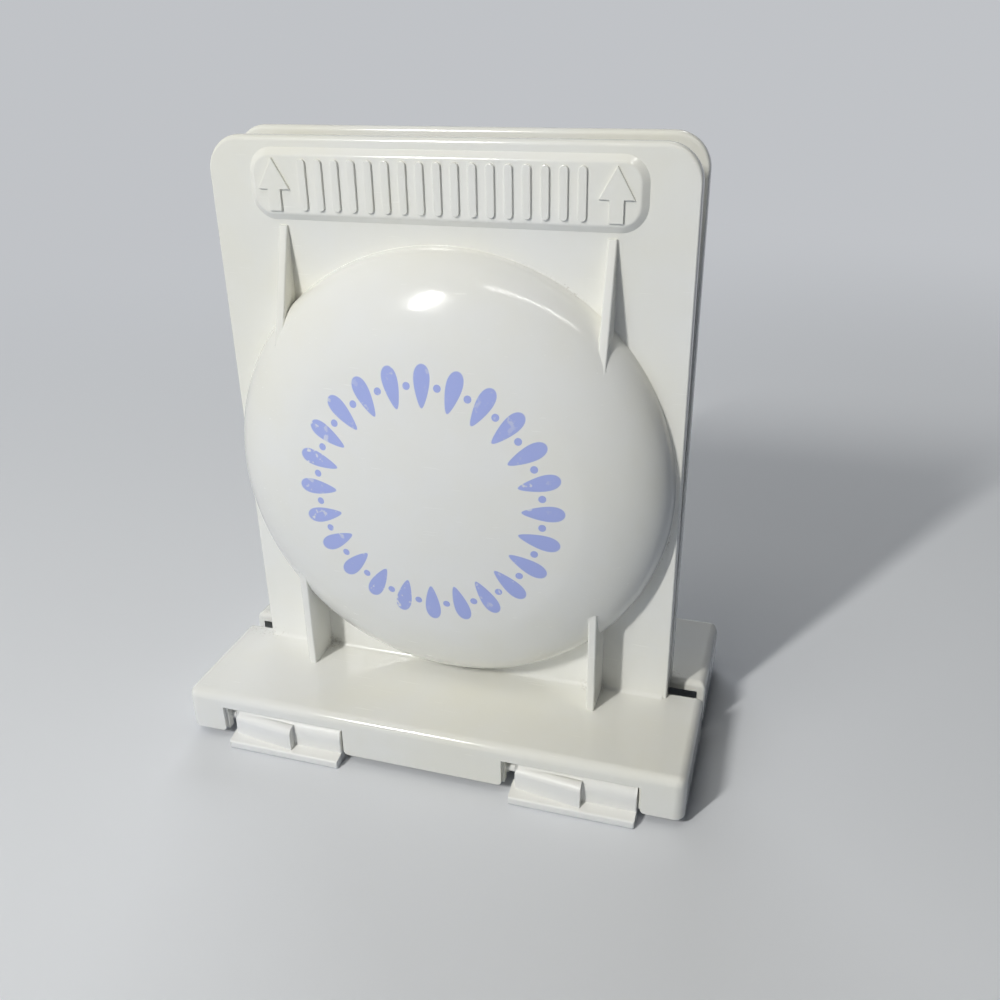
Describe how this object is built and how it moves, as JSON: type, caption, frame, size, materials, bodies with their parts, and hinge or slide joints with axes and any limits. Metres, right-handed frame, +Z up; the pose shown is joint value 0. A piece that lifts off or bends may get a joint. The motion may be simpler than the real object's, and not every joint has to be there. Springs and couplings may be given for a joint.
{
  "type": "bagel holder for slicing",
  "caption": "Countertop bagel holder: domed upright plates face each other on skirted bases, hinged to links underneath, with a narrow gap between them for a bread knife.",
  "frame": {"origin": "middle of the footprint, on the table", "axes": "+X to the right along the knife gap, -Y towards the front, +Z up"},
  "size_m": [0.17, 0.099, 0.1948],
  "materials": {
    "holder_plastic": "glossy ivory white",
    "link_plastic": "semi-gloss white",
    "pin_plastic": "satin white"
  },
  "bodies": {
    "links": {"left_link": "link_plastic", "right_link": "link_plastic"},
    "front_half": {"front_holder": "holder_plastic", "front_left_pin": "pin_plastic", "front_right_pin": "pin_plastic"},
    "rear_half": {"rear_holder": "holder_plastic", "rear_left_pin": "pin_plastic", "rear_right_pin": "pin_plastic"}
  },
  "joints": [
    {"name": "front_hinge", "type": "hinge", "parent": "links", "child": "front_half", "pos_m": [0, -0.0407, 0.0078], "axis": [1, 0, 0], "range_deg": [0, 24]},
    {"name": "rear_hinge", "type": "hinge", "parent": "links", "child": "rear_half", "pos_m": [0, 0.0407, 0.0078], "axis": [-1, 0, 0], "range_deg": [-2.2, 21.8]}
  ]
}
